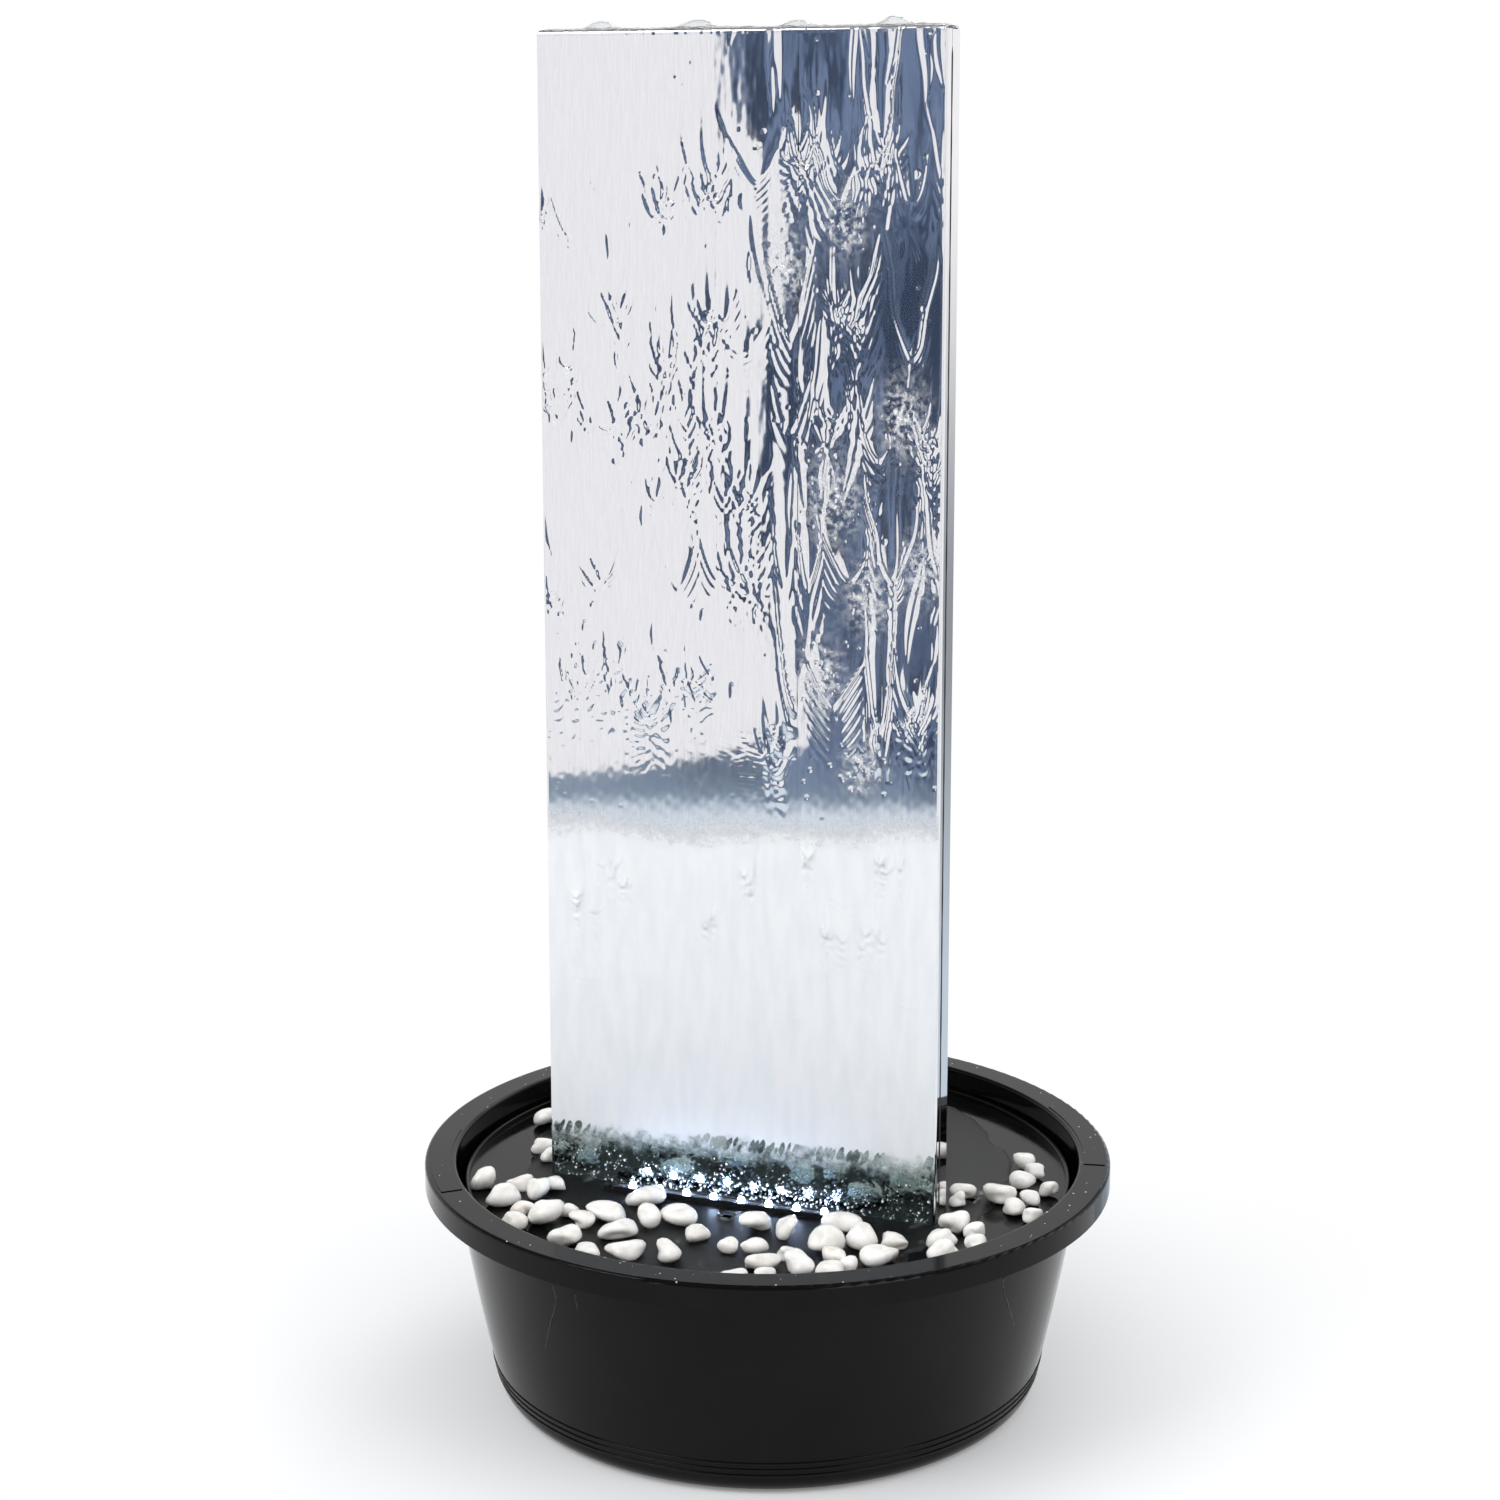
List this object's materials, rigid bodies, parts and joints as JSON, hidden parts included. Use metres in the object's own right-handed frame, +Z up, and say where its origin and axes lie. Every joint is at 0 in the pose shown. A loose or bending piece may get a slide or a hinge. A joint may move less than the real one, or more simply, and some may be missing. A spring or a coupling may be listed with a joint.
{
  "type": "water wall fountain",
  "caption": "Free-standing water wall: a hollow brushed-steel panel rises from a round black basin with a pebbled deck, a light bar at its foot and a pump below.",
  "frame": {"origin": "on the floor under the middle of the round basin", "axes": "+Z up, +X along the panel's width, panel front and light bar towards -Y"},
  "size_m": [0.5139, 0.514, 1.0013],
  "materials": {
    "basin_plastic": "moulded, satin gloss",
    "deck_plastic": "moulded, gloss, wet",
    "steel_sheet": "fine vertical brush",
    "fastener_steel": "plain stainless",
    "hose_vinyl": "smooth vinyl",
    "fitting_plastic": "moulded grey",
    "seal_rubber": "plain",
    "pump_plastic": "moulded, fine texture",
    "dial_plastic": "moulded grey",
    "impeller_plastic": "moulded white",
    "magnet_ferrite": "ground ferrite",
    "shaft_ceramic": "ground",
    "light_housing": "black, satin",
    "light_board": "white solder mask",
    "light_resin": "clear cast",
    "lamp_lens": "clear lens, lit",
    "pebble_stone": "tumbled, wet"
  },
  "bodies": {
    "basin": {"basin": "basin_plastic", "pump_motor": "pump_plastic", "pump_volute": "pump_plastic", "pump_seal": "seal_rubber", "pump_shaft": "shaft_ceramic", "pump_bush_front": "seal_rubber", "pump_bush_rear": "seal_rubber", "pump_feet": "seal_rubber"},
    "deck": {"deck": "deck_plastic", "deck_leg_1": "deck_plastic", "deck_leg_2": "deck_plastic", "deck_leg_3": "deck_plastic", "deck_leg_4": "deck_plastic", "deck_leg_5": "deck_plastic", "deck_leg_6": "deck_plastic", "foot_bracket": "steel_sheet", "foot_screws": "fastener_steel", "light_channel": "light_housing", "light_board": "light_board", "light_lamps": "lamp_lens", "light_fill": "light_resin", "light_cap_left": "light_housing", "light_cap_right": "light_housing", "light_screws": "fastener_steel", "pebbles": "pebble_stone"},
    "panel": {"front_shell": "steel_sheet", "back_shell": "steel_sheet", "seam_strip_left": "steel_sheet", "seam_strip_right": "steel_sheet", "stiffener_1": "steel_sheet", "stiffener_2": "steel_sheet", "stiffener_3": "steel_sheet", "trough": "steel_sheet", "trough_seal": "seal_rubber", "spray_bar": "fitting_plastic", "spray_cap_left": "fitting_plastic", "spray_cap_right": "fitting_plastic", "tee_fitting": "fitting_plastic", "riser_hose": "hose_vinyl", "hose_clip": "fastener_steel"},
    "impeller": {"impeller": "impeller_plastic", "rotor_magnet": "magnet_ferrite"},
    "strainer": {"pump_strainer": "pump_plastic"},
    "flow_dial": {"flow_dial": "dial_plastic"}
  },
  "joints": [
    {"name": "deck_lift", "type": "slide", "parent": "basin", "child": "deck", "axis": [0, 0, 1], "range_m": [0, 0.2]},
    {"name": "panel_lift", "type": "slide", "parent": "deck", "child": "panel", "axis": [0, 0, 1], "range_m": [0, 0.16]},
    {"name": "impeller_spin", "type": "hinge", "parent": "basin", "child": "impeller", "pos_m": [0, -0.0485, 0.036], "axis": [0, 1, 0], "continuous": true},
    {"name": "strainer_pull", "type": "slide", "parent": "basin", "child": "strainer", "axis": [0, -1, 0], "range_m": [0, 0.03]},
    {"name": "flow_dial_turn", "type": "hinge", "parent": "strainer", "child": "flow_dial", "pos_m": [0, -0.0735, 0.036], "axis": [0, -1, 0], "range_deg": [0, 60]}
  ]
}
